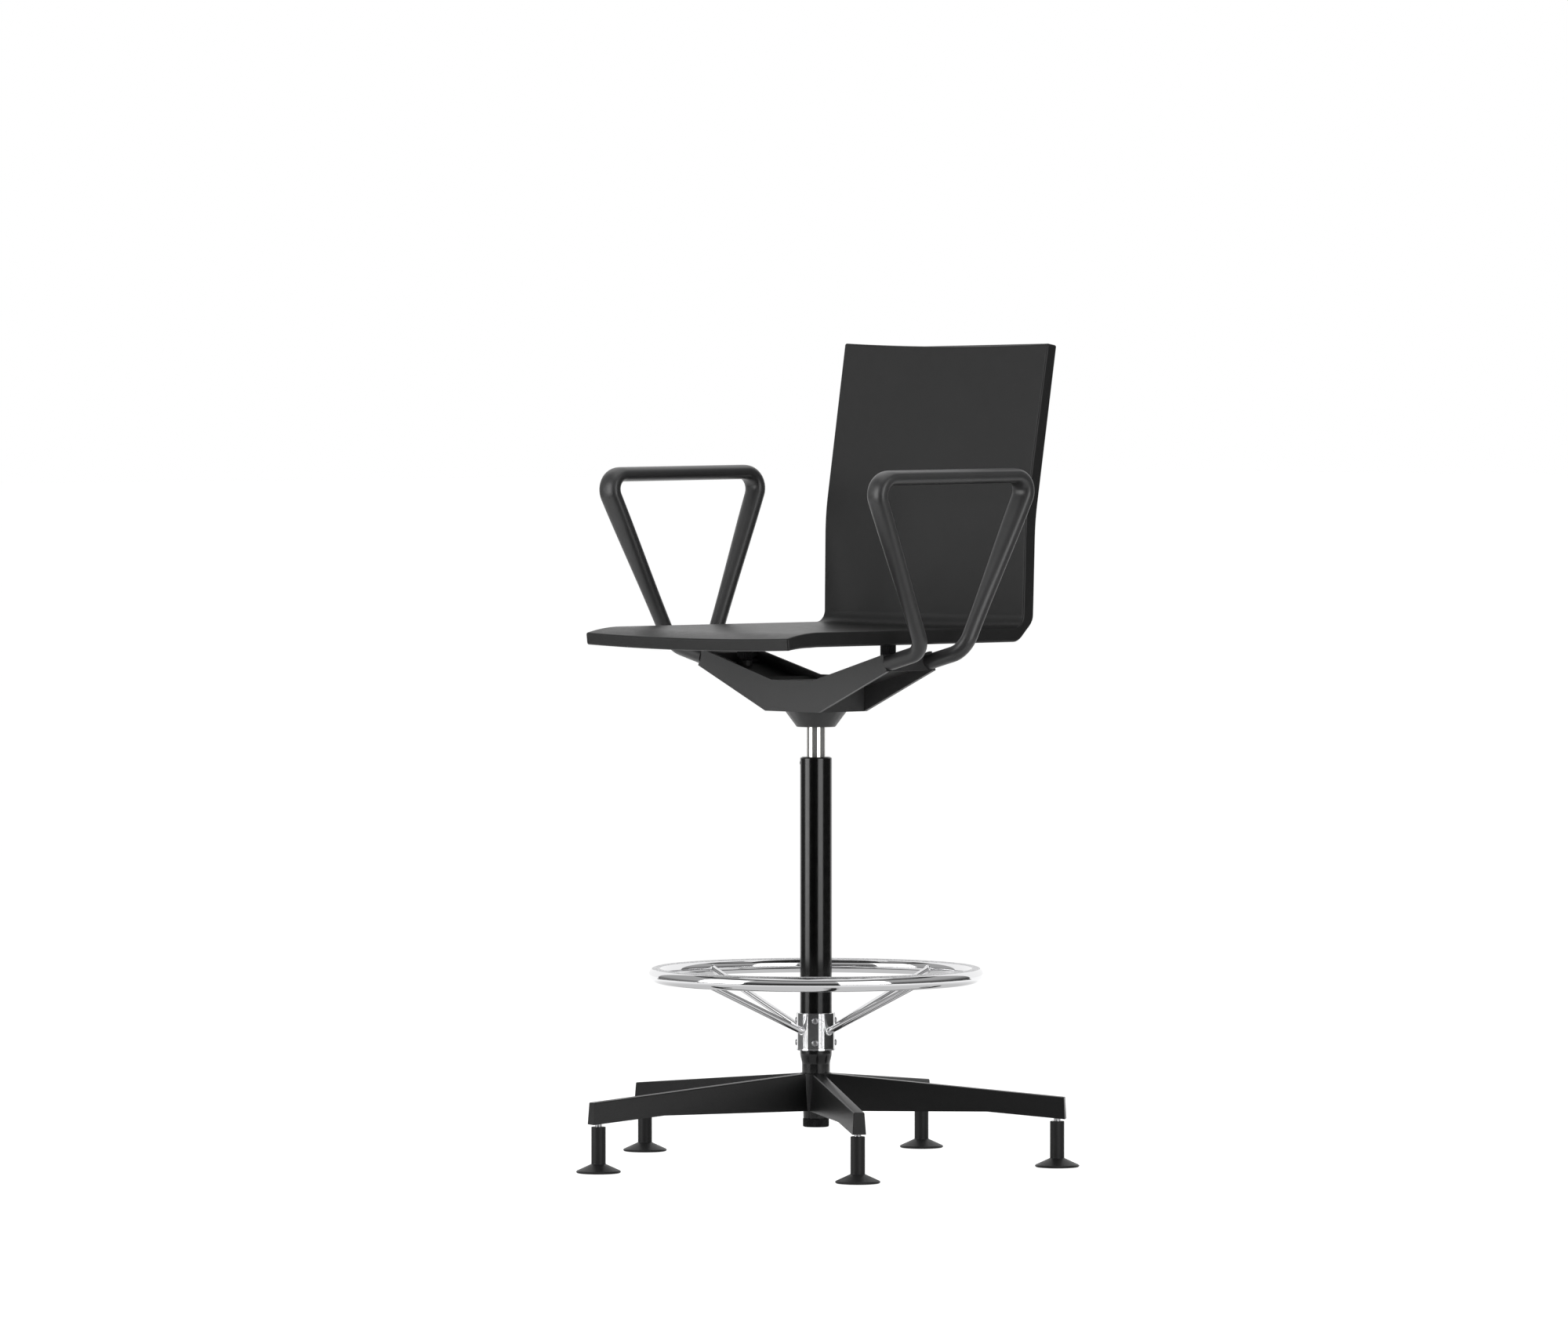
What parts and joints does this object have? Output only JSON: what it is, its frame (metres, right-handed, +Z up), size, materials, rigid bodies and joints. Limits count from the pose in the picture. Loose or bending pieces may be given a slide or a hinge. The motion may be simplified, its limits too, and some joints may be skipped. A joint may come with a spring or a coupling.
{
  "type": "drafting chair",
  "caption": "High swivel chair for a drawing table: one-piece moulded shell, looped armrests, gas lift, foot ring and star base on glides.",
  "frame": {"origin": "on the floor, in the middle of the bounding box; the column's axis stands 28.8 mm along +X and 5.6 mm along +Y from it", "axes": "+Z up; the sitter faces -Y and the sitter's left is +X"},
  "size_m": [0.7214, 0.7438, 1.2053],
  "materials": {
    "shell_skin": "matt moulded skin with a fine grain",
    "armrest_skin": "satin moulded skin with a fine grain",
    "cast_black": "satin powder coat with a fine texture",
    "glide_plastic": "satin moulded plastic",
    "trim_plastic": "satin moulded plastic",
    "column_black": "gloss paint",
    "chrome": "polished chrome plate",
    "steel": "plain turned steel",
    "post_rubber": "matt black rubber"
  },
  "bodies": {
    "base": {"star_base": "cast_black", "glide_1": "glide_plastic", "glide_2": "glide_plastic", "glide_3": "glide_plastic", "glide_4": "glide_plastic", "glide_5": "glide_plastic", "glide_pin_1": "steel", "glide_pin_2": "steel", "glide_pin_3": "steel", "glide_pin_4": "steel", "glide_pin_5": "steel", "column_tube": "column_black", "guide_bush": "trim_plastic", "bush_screw": "column_black", "base_cap": "trim_plastic", "ring_collar": "chrome", "foot_ring": "chrome", "ring_spoke_1": "chrome", "ring_spoke_2": "chrome", "ring_spoke_3": "chrome", "ring_spoke_4": "chrome", "collar_screw_1": "chrome", "collar_screw_2": "chrome", "collar_screw_3": "chrome", "collar_screw_4": "chrome", "collar_screw_5": "chrome", "collar_screw_6": "chrome", "collar_screw_7": "chrome", "collar_screw_8": "chrome", "bearing_washer_lower": "steel", "bearing_needles": "steel"},
    "rod": {"piston_rod": "steel", "piston": "steel", "bearing_washer_upper": "steel", "rod_clip": "steel", "bump_stop": "post_rubber"},
    "seat": {"rod_guide": "steel", "gas_cylinder": "chrome", "carrier": "cast_black", "lever_pin": "steel", "shell": "shell_skin", "seat_post_left": "post_rubber", "seat_insert_left": "steel", "seat_bolt_left": "steel", "seat_post_right": "post_rubber", "seat_insert_right": "steel", "seat_bolt_right": "steel", "armrest_left": "armrest_skin", "armrest_right": "armrest_skin", "armrest_screw_left_front": "steel", "armrest_screw_left_rear": "steel", "armrest_screw_right_front": "steel", "armrest_screw_right_rear": "steel"},
    "lever": {"release_lever": "steel", "lever_grip": "trim_plastic"},
    "valve": {"valve_pin": "steel"}
  },
  "joints": [
    {"name": "seat_swivel", "type": "hinge", "parent": "base", "child": "rod", "pos_m": [0.02881, 0.00564, 0.08], "axis": [0, 0, 1], "continuous": true},
    {"name": "seat_lift", "type": "slide", "parent": "rod", "child": "seat", "axis": [0, 0, 1], "range_m": [-0.04, 0.16]},
    {"name": "lever_lift", "type": "hinge", "parent": "seat", "child": "lever", "pos_m": [-0.01519, 0.00564, 0.6921], "axis": [0, 1, 0], "range_deg": [0, 3.6], "stiffness_Nm_per_rad": 8, "springref_deg": -6.88},
    {"name": "valve_press", "type": "slide", "parent": "seat", "child": "valve", "axis": [0, 0, -1], "range_m": [0, 0.0028]}
  ],
  "couplings": [
    {"joint": "valve_press", "follows": "lever_lift", "m_per_rad": 0.044}
  ]
}
